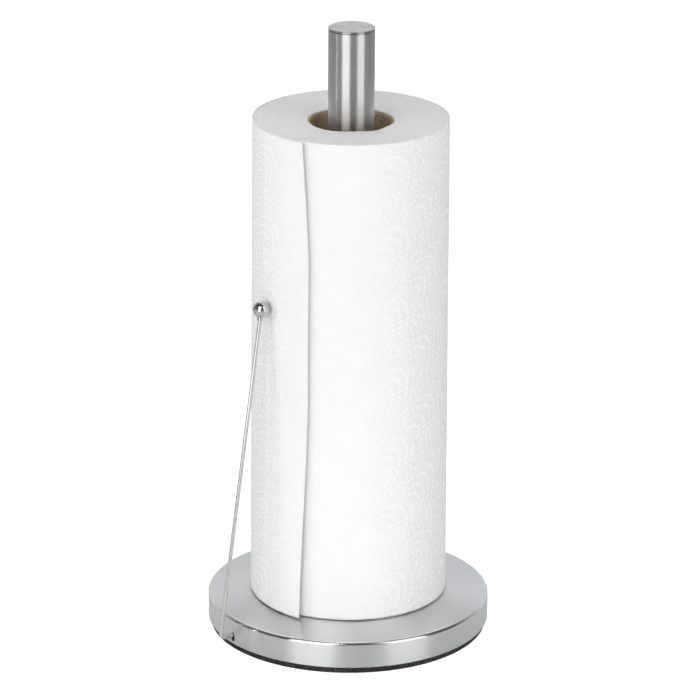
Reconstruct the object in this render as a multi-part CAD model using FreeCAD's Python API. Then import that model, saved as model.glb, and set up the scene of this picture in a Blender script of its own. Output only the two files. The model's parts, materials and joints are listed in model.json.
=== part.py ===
import FreeCAD, Part
import math
import os

os.makedirs("parts", exist_ok=True)

# Paper towel holder: a weighted round base with an upright post, a sprung wire arm that
# presses on the paper, and a paper roll over the post.
# Millimetres, +Z up. The origin is the centre of the base on the surface that it stands on,
# and the front of the holder faces -Y.

# Base
BASE_RADIUS = 75.0
RIM_TOP = 17.3
CROWN_RADIUS = 40.0
CROWN_TOP = 20.6
COVER_BOTTOM = 3.6
COVER_SHEET = 0.8
COVER_EDGE_ROUND = 1.5
COVER_LIP_ROUND = 0.3
PAD_RADIUS = 73.6
PAD_THICKNESS = 3.8
PAD_EDGE_ROUND = 0.5
PLATE_THICKNESS = 1.0
PLATE_GAP = 0.3
WEIGHT_GAP = 0.3
WEIGHT_TOP_CHAMFER = 1.2
ACCESS_HOLE_RADIUS = 13.0
BOLT_SEAT_Z = 11.6

# Screws that hold the plate to the weight
PLATE_SCREW_COUNT = 3
PLATE_SCREW_CIRCLE = 42.0
PLATE_SCREW_START = 90.0
PLATE_SCREW_RADIUS = 2.0
PLATE_SCREW_LENGTH = 8.0
PLATE_SCREW_HEAD_RADIUS = 3.9
PLATE_SCREW_HEAD_HEIGHT = 2.4
PLATE_SCREW_RECESS_RADIUS = 1.1
PLATE_SCREW_RECESS_DEPTH = 1.3
PAD_SCREW_HOLE_RADIUS = 5.5

# Post
POST_RADIUS = 12.0
POST_WALL = 1.0
OVERALL_HEIGHT = 329.0
CAP_THICKNESS = 0.8
CAP_CHAMFER = 0.35
CAP_SEAM = 0.45
CAP_SPIGOT_LENGTH = 10.0
CAP_SPIGOT_WALL = 1.5
GASKET_THICKNESS = 0.4
PLUG_LENGTH = 20.0
BOLT_RADIUS = 3.0
BOLT_LENGTH = 25.0
BOLT_HOLE_RADIUS = 3.3
BOLT_HEAD_ACROSS_FLATS = 10.0
BOLT_HEAD_HEIGHT = 4.0
BOLT_HEAD_CHAMFER = 0.5
WASHER_RADIUS = 9.0
WASHER_THICKNESS = 1.6
LOCK_WASHER_RADIUS = 5.6
LOCK_WASHER_THICKNESS = 1.5
LOCK_WASHER_SPLIT = 0.8

# Hub that centres the roll's core on the post
MOVING_GAP = 0.3
HUB_RUNNING_FIT = 0.1
HUB_TOP = 33.0
HUB_LEAD_IN = 1.5

# Paper roll
ROLL_BOTTOM = CROWN_TOP + MOVING_GAP
ROLL_HEIGHT = 260.0
ROLL_RADIUS = 51.8
SHEET_THICKNESS = 0.35
CORE_INNER_RADIUS = 21.5
CORE_WALL = 1.0
FREE_EDGE_ANGLE = -114.0
SHEET_LENGTH = 200.0

# Tension arm. It lies in a plane through the holder's axis; angles are about +Z from +X.
ARM_ANGLE = -144.1
ARM_TRAVEL = 20.0
ARM_WIRE_RADIUS = 1.1
ARM_Z = 8.4
PIVOT_RADIUS = 69.5
PIVOT_LEG_END = 16.9
PIVOT_BEND = 2.4
ELBOW_RADIUS = 83.0
ELBOW_BEND = 3.2
BALL_RADIUS = 4.4
BALL_Z = 186.8
BALL_HOLE_DEPTH = 5.0
COLLAR_RADIUS = 1.55
COLLAR_LENGTH = 1.8
COLLAR_SEAT = 0.4
ARM_SLOT_WIDTH = 3.2
ARM_SLOT_GAP = 0.45

# Bracket, spring and clip of the arm, measured tangentially from the arm's plane
BRACKET_SHEET = 0.8
BRACKET_INNER_RADIUS = 50.0
BRACKET_START = 8.4
BRACKET_END = 16.0
EAR_THICKNESS = 1.0
EAR_HALF_WIDTH = 2.5
NEAR_EAR_START = 10.4
PIVOT_RUNNING_FIT = 0.06
RIVET_CIRCLE = 54.0
RIVET_RADIUS = 1.25
RIVET_HEAD_RADIUS = 2.2
RIVET_HEAD_HEIGHT = 0.9
RIVET_OFFSETS = (10.2, 14.2)
SPRING_WIRE_RADIUS = 0.5
SPRING_MEAN_RADIUS = 1.9
SPRING_TURNS = 6
SPRING_START = 3.2
SPRING_PITCH = 1.06
SPRING_ARM_LEG = 4.2
SPRING_ARM_LEG_SLOPE = 0.6
SPRING_PLATE_LEG = 8.0
CLIP_RADIUS = 2.2
CLIP_THICKNESS = 0.5
POCKET_INNER_RADIUS = 47.5
POCKET_SIDES = (-4.0, 18.6)
POCKET_TOP = 12.4

# Worked out from the dimensions above
COVER_INNER_RADIUS = BASE_RADIUS - COVER_SHEET
PLATE_RADIUS = COVER_INNER_RADIUS - PLATE_GAP
PLATE_TOP = PAD_THICKNESS + PLATE_THICKNESS
DOME_FALL = CROWN_TOP - RIM_TOP
DOME_CURVE = ((BASE_RADIUS - CROWN_RADIUS) ** 2 + DOME_FALL ** 2) / (2 * DOME_FALL)
WEIGHT_RADIUS = COVER_INNER_RADIUS - WEIGHT_GAP
TUBE_BOTTOM = CROWN_TOP + GASKET_THICKNESS
TUBE_TOP = OVERALL_HEIGHT - CAP_THICKNESS - CAP_SEAM
TUBE_INNER_RADIUS = POST_RADIUS - POST_WALL
ROLL_TOP = ROLL_BOTTOM + ROLL_HEIGHT
CORE_OUTER_RADIUS = CORE_INNER_RADIUS + CORE_WALL
HUB_RADIUS = CORE_INNER_RADIUS - MOVING_GAP
BALL_PATH_RADIUS = ROLL_RADIUS + MOVING_GAP + BALL_RADIUS
ARM_LEAN = math.atan2(ELBOW_RADIUS - BALL_PATH_RADIUS, BALL_Z - ARM_Z)
ORIGIN = FreeCAD.Vector(0, 0, 0)
UP = FreeCAD.Vector(0, 0, 1)


def save(shape, node):
    """Writes one piece, or one group of equal pieces, as its own node."""
    shape.exportStep("parts/" + node + ".step")


def cylinder(radius, low, high, x=0.0, y=0.0):
    return Part.makeCylinder(radius, high - low, FreeCAD.Vector(x, y, low), UP)


def ring(outer, inner, low, high):
    return cylinder(outer, low, high).cut(cylinder(inner, low - 1, high + 1))


def circle_edges(shape, radius, z):
    """The full-circle edges of a turned piece at one radius and height."""
    found = []
    for edge in shape.Edges:
        if not isinstance(edge.Curve, Part.Circle):
            continue
        centre = edge.Curve.Center
        near = abs(edge.Curve.Radius - radius) < 0.01 and abs(centre.z - z) < 0.01
        if near and abs(centre.x) < 0.01 and abs(centre.y) < 0.01:
            found.append(edge)
    return found


def rounded(shape, size, radius, z):
    return shape.makeFillet(size, circle_edges(shape, radius, z))


def chamfered(shape, size, radius, z):
    return shape.makeChamfer(size, circle_edges(shape, radius, z))


def on_circle(radius, angle):
    """A point on a circle about the holder's axis, as x and y."""
    turn = math.radians(angle)
    return radius * math.cos(turn), radius * math.sin(turn)


def at_arm(shape):
    """Turns a piece drawn with the arm's plane along +X to the arm's place."""
    placed = shape.copy()
    placed.rotate(ORIGIN, UP, ARM_ANGLE)
    return placed


def plate_screw_places():
    step = 360.0 / PLATE_SCREW_COUNT
    return [on_circle(PLATE_SCREW_CIRCLE, PLATE_SCREW_START + step * i) for i in range(PLATE_SCREW_COUNT)]


def arm_slot():
    """The upright slot through the rim that the arm's wire swings in."""
    drop = (BASE_RADIUS - PIVOT_RADIUS) * math.sin(math.radians(ARM_TRAVEL))
    low = ARM_Z - drop - ARM_WIRE_RADIUS / math.cos(math.radians(ARM_TRAVEL)) - ARM_SLOT_GAP
    high = ARM_Z + ARM_WIRE_RADIUS + ARM_SLOT_GAP
    half = ARM_SLOT_WIDTH / 2
    out = FreeCAD.Vector(1, 0, 0)
    start = PIVOT_RADIUS
    depth = BASE_RADIUS - PIVOT_RADIUS + 2
    upper = Part.makeCylinder(half, depth, FreeCAD.Vector(start, 0, high - half), out)
    lower = Part.makeCylinder(half, depth, FreeCAD.Vector(start, 0, low + half), out)
    corner = FreeCAD.Vector(start, -half, low + half)
    middle = Part.makeBox(depth, ARM_SLOT_WIDTH, high - low - ARM_SLOT_WIDTH, corner)
    return at_arm(upper.fuse([lower, middle]))


def dome_height(radius):
    """Height of the cover's outside: level over the crown, then a round fall to the rim."""
    return CROWN_TOP - DOME_CURVE + math.sqrt(DOME_CURVE ** 2 - (radius - CROWN_RADIUS) ** 2)


def domed(radius, low, drop):
    """A turned solid with a domed top that lies a set drop below the cover's outside."""
    middle_radius = (radius + CROWN_RADIUS) / 2
    foot = FreeCAD.Vector(radius, 0, low)
    edge = FreeCAD.Vector(radius, 0, dome_height(radius) - drop)
    middle = FreeCAD.Vector(middle_radius, 0, dome_height(middle_radius) - drop)
    crown = FreeCAD.Vector(CROWN_RADIUS, 0, CROWN_TOP - drop)
    centre_low = UP * low
    centre_high = UP * (CROWN_TOP - drop)
    outline = [Part.makeLine(centre_low, foot), Part.makeLine(foot, edge)]
    outline.append(Part.Arc(edge, middle, crown).toShape())
    outline.append(Part.makeLine(crown, centre_high))
    outline.append(Part.makeLine(centre_high, centre_low))
    return Part.Face(Part.Wire(outline)).revolve(ORIGIN, UP, 360)


def base_cover():
    outside = rounded(domed(BASE_RADIUS, COVER_BOTTOM, 0), COVER_EDGE_ROUND, BASE_RADIUS, RIM_TOP)
    outside = rounded(outside, COVER_LIP_ROUND, BASE_RADIUS, COVER_BOTTOM)
    inside = domed(COVER_INNER_RADIUS, COVER_BOTTOM - 1, COVER_SHEET)
    inner_corner = dome_height(COVER_INNER_RADIUS) - COVER_SHEET
    inside = rounded(inside, COVER_EDGE_ROUND - COVER_SHEET, COVER_INNER_RADIUS, inner_corner)
    shell = outside.cut(inside)
    shell = shell.cut(cylinder(BOLT_HOLE_RADIUS, COVER_BOTTOM, CROWN_TOP + 1))
    return shell.cut(arm_slot())


def arm_pocket():
    """The recess in the weight that the bracket, the spring and the pivot leg sit in."""
    near, far = POCKET_SIDES
    corner = FreeCAD.Vector(POCKET_INNER_RADIUS, near, PLATE_TOP - 1)
    return at_arm(Part.makeBox(BASE_RADIUS, far - near, POCKET_TOP - PLATE_TOP + 1, corner))


def base_weight():
    edge = dome_height(WEIGHT_RADIUS) - COVER_SHEET
    body = domed(WEIGHT_RADIUS, PLATE_TOP, COVER_SHEET)
    body = chamfered(body, WEIGHT_TOP_CHAMFER, WEIGHT_RADIUS, edge)
    body = body.cut(cylinder(BOLT_HOLE_RADIUS, PLATE_TOP - 1, CROWN_TOP))
    body = body.cut(cylinder(ACCESS_HOLE_RADIUS, PLATE_TOP - 1, BOLT_SEAT_Z))
    depth = PLATE_TOP + PLATE_SCREW_LENGTH
    for x, y in plate_screw_places():
        body = body.cut(cylinder(PLATE_SCREW_RADIUS, PLATE_TOP - 1, depth, x, y))
    return body.cut(arm_pocket())


def rivet_places():
    return [FreeCAD.Vector(RIVET_CIRCLE, offset, 0) for offset in RIVET_OFFSETS]


def rivet_sinks():
    """The countersunk rivet holes through the plate."""
    holes = []
    for place in rivet_places():
        low = place + FreeCAD.Vector(0, 0, PAD_THICKNESS)
        holes.append(Part.makeCylinder(RIVET_RADIUS, PLATE_THICKNESS * 2, low, UP))
        holes.append(Part.makeCone(RIVET_HEAD_RADIUS, RIVET_RADIUS, RIVET_HEAD_HEIGHT, low, UP))
    return at_arm(holes[0].fuse(holes[1:]))


def base_plate():
    plate = cylinder(PLATE_RADIUS, PAD_THICKNESS, PLATE_TOP)
    plate = plate.cut(cylinder(ACCESS_HOLE_RADIUS, PAD_THICKNESS - 1, PLATE_TOP + 1))
    for x, y in plate_screw_places():
        plate = plate.cut(cylinder(PLATE_SCREW_RADIUS, PAD_THICKNESS - 1, PLATE_TOP + 1, x, y))
    return plate.cut(rivet_sinks())


def plate_screws():
    """Pan-head screws with a round recess, driven from below through the pad's holes."""
    screws = []
    head_low = PAD_THICKNESS - PLATE_SCREW_HEAD_HEIGHT
    for x, y in plate_screw_places():
        head = cylinder(PLATE_SCREW_HEAD_RADIUS, head_low, PAD_THICKNESS, x, y)
        shank = cylinder(PLATE_SCREW_RADIUS, PAD_THICKNESS, PLATE_TOP + PLATE_SCREW_LENGTH, x, y)
        recess = cylinder(PLATE_SCREW_RECESS_RADIUS, head_low - 1, head_low + PLATE_SCREW_RECESS_DEPTH, x, y)
        screws.append(head.fuse(shank).cut(recess))
    return Part.makeCompound(screws)


def anti_slip_pad():
    pad = cylinder(PAD_RADIUS, 0, PAD_THICKNESS)
    pad = rounded(pad, PAD_EDGE_ROUND, PAD_RADIUS, 0)
    pad = pad.cut(cylinder(ACCESS_HOLE_RADIUS, -1, PAD_THICKNESS + 1))
    for x, y in plate_screw_places():
        pad = pad.cut(cylinder(PAD_SCREW_HOLE_RADIUS, -1, PAD_THICKNESS + 1, x, y))
    return pad


def post_tube():
    return ring(POST_RADIUS, TUBE_INNER_RADIUS, TUBE_BOTTOM, TUBE_TOP)


def post_cap():
    """A disc with a hollow spigot that is pressed into the tube, standing a seam above it."""
    disc_low = OVERALL_HEIGHT - CAP_THICKNESS
    disc = cylinder(POST_RADIUS, disc_low, OVERALL_HEIGHT)
    disc = chamfered(disc, CAP_CHAMFER, POST_RADIUS, OVERALL_HEIGHT)
    spigot_low = TUBE_TOP - CAP_SPIGOT_LENGTH
    spigot = cylinder(TUBE_INNER_RADIUS, spigot_low, disc_low)
    bore = cylinder(TUBE_INNER_RADIUS - CAP_SPIGOT_WALL, spigot_low - 1, disc_low)
    return disc.fuse(spigot.cut(bore)).removeSplitter()


def post_foot_plug():
    return ring(TUBE_INNER_RADIUS, BOLT_RADIUS, TUBE_BOTTOM, TUBE_BOTTOM + PLUG_LENGTH)


def post_gasket():
    return ring(POST_RADIUS, BOLT_HOLE_RADIUS, CROWN_TOP, TUBE_BOTTOM)


def post_washer():
    return ring(WASHER_RADIUS, BOLT_HOLE_RADIUS, BOLT_SEAT_Z - WASHER_THICKNESS, BOLT_SEAT_Z)


def post_lock_washer():
    """A split spring washer, pressed flat."""
    high = BOLT_SEAT_Z - WASHER_THICKNESS
    low = high - LOCK_WASHER_THICKNESS
    body = ring(LOCK_WASHER_RADIUS, BOLT_HOLE_RADIUS, low, high)
    corner = FreeCAD.Vector(0, -LOCK_WASHER_SPLIT / 2, low - 1)
    return body.cut(Part.makeBox(LOCK_WASHER_RADIUS * 2, LOCK_WASHER_SPLIT, high - low + 2, corner))


def post_bolt():
    """A hexagon-head bolt, its head down in the weight's counterbore."""
    head_high = BOLT_SEAT_Z - WASHER_THICKNESS - LOCK_WASHER_THICKNESS
    head_low = head_high - BOLT_HEAD_HEIGHT
    corner_radius = BOLT_HEAD_ACROSS_FLATS / 2 / math.cos(math.radians(30))
    corners = []
    for i in range(7):
        x, y = on_circle(corner_radius, 60.0 * i)
        corners.append(FreeCAD.Vector(x, y, head_low))
    head = Part.Face(Part.makePolygon(corners)).extrude(UP * BOLT_HEAD_HEIGHT)
    blank = cylinder(corner_radius, head_low, head_high)
    head = head.common(chamfered(blank, BOLT_HEAD_CHAMFER, corner_radius, head_low))
    shank = cylinder(BOLT_RADIUS, head_high, head_high + BOLT_LENGTH)
    return head.fuse(chamfered(shank, BOLT_HEAD_CHAMFER, BOLT_RADIUS, head_high + BOLT_LENGTH))


def centring_hub():
    """A ring round the foot of the post, with a lead-in for the core at its top."""
    blank = cylinder(HUB_RADIUS, CROWN_TOP + MOVING_GAP, HUB_TOP)
    blank = chamfered(blank, HUB_LEAD_IN, HUB_RADIUS, HUB_TOP)
    return blank.cut(cylinder(POST_RADIUS + HUB_RUNNING_FIT, CROWN_TOP, HUB_TOP + 1))


def cardboard_core():
    return ring(CORE_OUTER_RADIUS, CORE_INNER_RADIUS, ROLL_BOTTOM, ROLL_TOP)


def loose_sheet():
    """The first sheet, from its free edge back round the roll to where it tears off."""
    span = math.degrees(SHEET_LENGTH / ROLL_RADIUS)
    inner_radius = ROLL_RADIUS - SHEET_THICKNESS
    low = FreeCAD.Vector(0, 0, ROLL_BOTTOM)
    outer = Part.makeCylinder(ROLL_RADIUS, ROLL_HEIGHT, low, UP, span)
    inner = Part.makeCylinder(inner_radius, ROLL_HEIGHT, low, UP, span)
    sector = outer.cut(inner)
    sector.rotate(ORIGIN, UP, FREE_EDGE_ANGLE - span)
    return sector


def paper_roll():
    """The wound paper, with room left in its outermost turn for the first sheet."""
    return ring(ROLL_RADIUS, CORE_OUTER_RADIUS, ROLL_BOTTOM, ROLL_TOP).cut(loose_sheet())


def bend(before, corner, after, radius):
    """An arc of the given radius that joins two straight runs at a corner, with its two ends."""
    back = (before - corner).normalize()
    ahead = (after - corner).normalize()
    half = back.getAngle(ahead) / 2
    reach = radius / math.tan(half)
    first = corner + back * reach
    last = corner + ahead * reach
    inward = (back + ahead).normalize()
    centre = corner + inward * (radius / math.sin(half))
    middle = centre - inward * radius
    return first, Part.Arc(first, middle, last).toShape(), last


def arm_points():
    """The wire's corners: end of the pivot leg, inner bend, elbow, and the end in the ball."""
    leg_end = FreeCAD.Vector(PIVOT_RADIUS, PIVOT_LEG_END, ARM_Z)
    inner = FreeCAD.Vector(PIVOT_RADIUS, 0, ARM_Z)
    elbow = FreeCAD.Vector(ELBOW_RADIUS, 0, ARM_Z)
    ball = FreeCAD.Vector(BALL_PATH_RADIUS, 0, BALL_Z)
    tip = ball + (elbow - ball).normalize() * (BALL_RADIUS - BALL_HOLE_DEPTH)
    return leg_end, inner, elbow, tip


def arm_wire():
    """One bent wire: pivot leg, short stub out through the rim, and the long upright."""
    leg_end, inner, elbow, tip = arm_points()
    inner_first, inner_arc, inner_last = bend(leg_end, inner, elbow, PIVOT_BEND)
    elbow_first, elbow_arc, elbow_last = bend(inner, elbow, tip, ELBOW_BEND)
    leg = Part.makeLine(leg_end, inner_first)
    stub = Part.makeLine(inner_last, elbow_first)
    upright = Part.makeLine(elbow_last, tip)
    path = Part.Wire([leg, inner_arc, stub, elbow_arc, upright])
    section = Part.Face(Part.Wire(Part.makeCircle(ARM_WIRE_RADIUS, leg_end, FreeCAD.Vector(0, 1, 0))))
    return at_arm(path.makePipe(section))


def along_upright(shape, start):
    """Places a piece drawn up the Z axis on the wire's upright, a distance below the ball's centre."""
    placed = shape.copy()
    placed.translate(UP * -start)
    placed.rotate(ORIGIN, FreeCAD.Vector(0, 1, 0), -math.degrees(ARM_LEAN))
    placed.translate(FreeCAD.Vector(BALL_PATH_RADIUS, 0, BALL_Z))
    return at_arm(placed)


def arm_ball():
    ball = Part.makeSphere(BALL_RADIUS)
    hole = cylinder(ARM_WIRE_RADIUS, -BALL_RADIUS - 1, BALL_HOLE_DEPTH - BALL_RADIUS)
    return along_upright(ball.cut(hole), 0)


def ball_collar():
    """A short sleeve on the wire that the ball is seated on."""
    ball_height = BALL_RADIUS + COLLAR_LENGTH - COLLAR_SEAT
    sleeve = ring(COLLAR_RADIUS, ARM_WIRE_RADIUS, 0, COLLAR_LENGTH)
    seat = Part.makeSphere(BALL_RADIUS, FreeCAD.Vector(0, 0, ball_height))
    return along_upright(sleeve.cut(seat), ball_height)


def pivot_clip():
    """A push-on disc on the end of the pivot leg."""
    across = FreeCAD.Vector(0, 1, 0)
    start = FreeCAD.Vector(PIVOT_RADIUS, BRACKET_END + MOVING_GAP, ARM_Z)
    disc = Part.makeCylinder(CLIP_RADIUS, CLIP_THICKNESS, start, across)
    hole = Part.makeCylinder(ARM_WIRE_RADIUS, CLIP_THICKNESS * 3, start - across * CLIP_THICKNESS, across)
    return at_arm(disc.cut(hole))


def ear(start):
    """One upright ear of the bracket, with a round top and a hole for the pivot leg."""
    across = FreeCAD.Vector(0, 1, 0)
    foot = FreeCAD.Vector(PIVOT_RADIUS - EAR_HALF_WIDTH, start, PLATE_TOP)
    block = Part.makeBox(EAR_HALF_WIDTH * 2, EAR_THICKNESS, ARM_Z - PLATE_TOP, foot)
    centre = FreeCAD.Vector(PIVOT_RADIUS, start, ARM_Z)
    top = Part.makeCylinder(EAR_HALF_WIDTH, EAR_THICKNESS, centre, across)
    hole = Part.makeCylinder(ARM_WIRE_RADIUS + PIVOT_RUNNING_FIT, EAR_THICKNESS * 3, centre - across, across)
    return block.fuse(top).cut(hole)


def arm_bracket():
    """A folded strip on the plate with two ears."""
    length = PIVOT_RADIUS + EAR_HALF_WIDTH - BRACKET_INNER_RADIUS
    corner = FreeCAD.Vector(BRACKET_INNER_RADIUS, BRACKET_START, PLATE_TOP)
    strip = Part.makeBox(length, BRACKET_END - BRACKET_START, BRACKET_SHEET, corner)
    for place in rivet_places():
        strip = strip.cut(Part.makeCylinder(RIVET_RADIUS, PLATE_TOP * 2, place, UP))
    ears = [ear(NEAR_EAR_START), ear(BRACKET_END - EAR_THICKNESS)]
    return at_arm(strip.fuse(ears).removeSplitter())


def bracket_rivets():
    """Flush rivets with a formed head on top of the bracket's strip."""
    rivets = []
    for place in rivet_places():
        low = place + UP * PAD_THICKNESS
        strip_top = place + UP * (PLATE_TOP + BRACKET_SHEET)
        sunk = Part.makeCone(RIVET_HEAD_RADIUS, RIVET_RADIUS, RIVET_HEAD_HEIGHT, low, UP)
        shank = Part.makeCylinder(RIVET_RADIUS, PLATE_THICKNESS + BRACKET_SHEET, low, UP)
        head = Part.makeCylinder(RIVET_HEAD_RADIUS, RIVET_HEAD_HEIGHT, strip_top, UP)
        rivets.append(sunk.fuse([shank, head]).removeSplitter())
    return at_arm(Part.makeCompound(rivets))


def arm_spring():
    """A torsion spring round the pivot leg: one end under the wire's stub, one on the bracket."""
    height = SPRING_TURNS * SPRING_PITCH
    helix = Part.makeHelix(SPRING_PITCH, height, SPRING_MEAN_RADIUS)
    start = FreeCAD.Vector(SPRING_MEAN_RADIUS, 0, 0)
    slope = SPRING_PITCH / (2 * math.pi * SPRING_MEAN_RADIUS)
    along = FreeCAD.Vector(0, 1, slope).normalize()
    section = Part.Wire(Part.makeCircle(SPRING_WIRE_RADIUS, start, along))
    coil = Part.Wire(helix.Edges).makePipeShell([section], True, True)
    arm_leg_way = along * -1 - UP * SPRING_ARM_LEG_SLOPE
    arm_leg = Part.makeCylinder(SPRING_WIRE_RADIUS, SPRING_ARM_LEG, start, arm_leg_way)
    plate_leg = Part.makeCylinder(SPRING_WIRE_RADIUS, SPRING_PLATE_LEG, start + UP * height, along)
    spring = coil.fuse([arm_leg, plate_leg])
    spring.rotate(ORIGIN, FreeCAD.Vector(1, 0, 0), -90)
    spring.rotate(ORIGIN, FreeCAD.Vector(0, 1, 0), 90)
    spring.translate(FreeCAD.Vector(PIVOT_RADIUS, SPRING_START, ARM_Z))
    return at_arm(spring)


PIECES = {
    "base_cover": base_cover,
    "base_weight": base_weight,
    "base_plate": base_plate,
    "plate_screws": plate_screws,
    "anti_slip_pad": anti_slip_pad,
    "post_tube": post_tube,
    "post_cap": post_cap,
    "post_foot_plug": post_foot_plug,
    "post_gasket": post_gasket,
    "post_bolt": post_bolt,
    "post_washer": post_washer,
    "post_lock_washer": post_lock_washer,
    "centring_hub": centring_hub,
    "cardboard_core": cardboard_core,
    "paper_roll": paper_roll,
    "loose_sheet": loose_sheet,
    "arm_wire": arm_wire,
    "arm_ball": arm_ball,
    "ball_collar": ball_collar,
    "pivot_clip": pivot_clip,
    "arm_bracket": arm_bracket,
    "bracket_rivets": bracket_rivets,
    "arm_spring": arm_spring,
}

for node, make in PIECES.items():
    save(make(), node)
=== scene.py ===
# Paper towel holder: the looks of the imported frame, in metres, in the frame's own axes.
# The paper is wound about +Z. An angle along the paper, called turn here, starts at the free edge and grows
# as the paper goes back round the roll, so a point's angle about +Z is FREE_EDGE - turn.
import json
import math

import bpy
import numpy as np
from mathutils import Matrix, Vector, noise

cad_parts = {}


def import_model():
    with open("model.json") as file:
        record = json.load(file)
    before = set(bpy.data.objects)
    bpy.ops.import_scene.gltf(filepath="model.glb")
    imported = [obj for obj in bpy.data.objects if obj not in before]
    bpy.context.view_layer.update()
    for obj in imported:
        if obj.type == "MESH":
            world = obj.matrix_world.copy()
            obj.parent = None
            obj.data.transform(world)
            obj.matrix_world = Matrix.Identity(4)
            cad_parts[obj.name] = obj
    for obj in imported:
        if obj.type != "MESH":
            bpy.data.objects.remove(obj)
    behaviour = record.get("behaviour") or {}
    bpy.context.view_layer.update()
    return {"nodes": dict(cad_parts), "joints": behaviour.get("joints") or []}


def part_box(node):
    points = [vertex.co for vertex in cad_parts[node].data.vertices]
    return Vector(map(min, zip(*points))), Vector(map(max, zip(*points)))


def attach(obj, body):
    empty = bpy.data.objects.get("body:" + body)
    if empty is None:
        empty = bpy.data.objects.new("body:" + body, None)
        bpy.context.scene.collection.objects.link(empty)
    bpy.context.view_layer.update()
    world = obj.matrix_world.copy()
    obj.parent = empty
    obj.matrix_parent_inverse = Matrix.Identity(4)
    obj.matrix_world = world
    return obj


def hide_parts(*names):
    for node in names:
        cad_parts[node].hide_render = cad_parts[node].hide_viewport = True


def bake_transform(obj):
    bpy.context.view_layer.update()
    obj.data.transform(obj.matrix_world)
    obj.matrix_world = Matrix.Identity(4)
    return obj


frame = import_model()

MM = 0.001
TAU = 2 * math.pi

# The third coordinate of noise that is taken over only two
FLAT_NOISE_Z = 0.37

# The paper roll: its size in the frame, its paper, and the slack that keeps its pieces apart.
# SPIRAL_START is the radius of the paper's outside at the free edge.
ROLL_LOW, ROLL_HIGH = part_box("paper_roll")
ROLL_RADIUS = ROLL_HIGH.x
ROLL_BOTTOM = ROLL_LOW.z
ROLL_TOP = ROLL_HIGH.z
ROLL_HEIGHT = ROLL_TOP - ROLL_BOTTOM
PAPER = 0.35 * MM
FREE_EDGE = math.radians(-113.5)
SHEET_LENGTH = 200 * MM
SHEET_TURN = SHEET_LENGTH / ROLL_RADIUS
SPIRAL_START = ROLL_RADIUS + 0.15 * MM
SLACK = 0.02 * MM

# The looseness of the winding: how much wider the lower end is, and how far the radius falls from there up
LOOSE_LOW = 0.5 * MM
LOOSE_TAPER = 1.15 * MM

# Soft dents in the outer sheets, and the fray along their cut edges, outwards and upwards: depths and sizes.
# The shift gives the two frays different noise.
DENT_DEPTH = 0.10 * MM
DENT_SIZE = 35 * MM
FRAY_REACH = 3 * MM
FRAY_OUT = 0.12 * MM
FRAY_OUT_SIZE = 1.6 * MM
FRAY_UP = 0.14 * MM
FRAY_UP_SIZE = 2.2 * MM
FRAY_UP_SHIFT = 1.0
SHEET_COLUMNS = 190
SHEET_ROWS = 232

# The free edge, drawn back near the bottom and the top: how far round the roll, and over which heights
SETBACK_LOW = math.radians(3.75)
SETBACK_LOW_SPAN = 130 * MM
SETBACK_HIGH = math.radians(3.9)
SETBACK_HIGH_START = 197 * MM
SETBACK_HIGH_SPAN = 61 * MM
SETBACK_HIGH_POWER = 1.2

# The loose end's lift off the roll, its reach back along the paper, and what the two corners add to both
LIFT = 1.9 * MM
LIFT_REACH = 20 * MM
LOW_CORNER_SPAN = 120 * MM
LOW_CORNER_LIFT = 2.2 * MM
LOW_CORNER_REACH = 40 * MM
HIGH_CORNER_START = 200 * MM
HIGH_CORNER_SPAN = 64 * MM
HIGH_CORNER_LIFT = 0.4 * MM
HIGH_CORNER_REACH = 6 * MM

# The roll's cut ends: sunk towards the core, with a ridge for each layer, uneven layers and soft lumps
BODY_COLUMNS = 240
WALL_STEPS = 26
END_LAYERS = 84
END_INSET = 0.1 * MM
END_DISH = 1.3 * MM
DISH_POWER = 1.3
LOW_DISH_SHARE = 0.35
RIDGE_DEPTH = 0.10 * MM
LAYER_UNEVEN = 0.16 * MM
LAYER_WAVE = 0.8
LAYER_STEP_X = 3.1
LAYER_STEP_Z = 1.7
LUMP_DEPTH = 0.50 * MM
LUMP_SIZE = 12 * MM

# The cardboard core: its wall, its ragged top below the roll's, and the lap where its inner ply overlaps
CORE_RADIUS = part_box("cardboard_core")[1].x
CORE_COLUMNS = 200
CORE_ROWS = 132
CORE_WALL = 1.0 * MM
CORE_SUNK = 0.7 * MM
CORE_RAGGED = 0.15 * MM
RAGGED_WAVE = 3
PLY_PITCH = 110 * MM
LAP_HEIGHT = 0.16 * MM
LAP_STEP = 0.012
CORE_DENT = 0.08 * MM
CORE_DENT_SIZE = 20 * MM

# The cover's rounded edge, turned brighter than the rest: the radius and height it starts from, its roughness
COVER_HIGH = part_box("base_cover")[1]
EDGE_IN = 1.4 * MM
EDGE_DOWN = 4.35 * MM
EDGE = (COVER_HIGH.x - EDGE_IN, COVER_HIGH.z - EDGE_DOWN)
EDGE_ROUGH = 0.15

# The arm's torsion spring, coiled about the arm's hinge
SPRING_WIRE = 0.5 * MM
SPRING_RADIUS = 1.9 * MM
SPRING_TURNS = 6
SPRING_PITCH = 1.06 * MM
SPRING_START = 3.2 * MM
SPRING_ARM_LEG = 4.2 * MM
SPRING_ARM_LEG_SLOPE = 0.6
SPRING_PLATE_LEG = 8.0 * MM

# The embossing: rows of fans that lean and overlap like scales, each filled with rings of dots
FAN_ROW = 19 * MM
FAN_COLUMN = 42 * MM
FAN_RADIUS = 29.1 * MM
FAN_LEAN = 0.55
FAN_NARROW = 0.72
RING_PITCH = 4.85 * MM
DOT_PITCH = 3.6 * MM
DOT_STRETCH = 1.33
DOT_CORE = 0.50 * MM
DOT_EDGE = 1.10 * MM
DOT_DEPTH = 0.28 * MM
RIDGE_HEIGHT = 0.02 * MM

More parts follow.
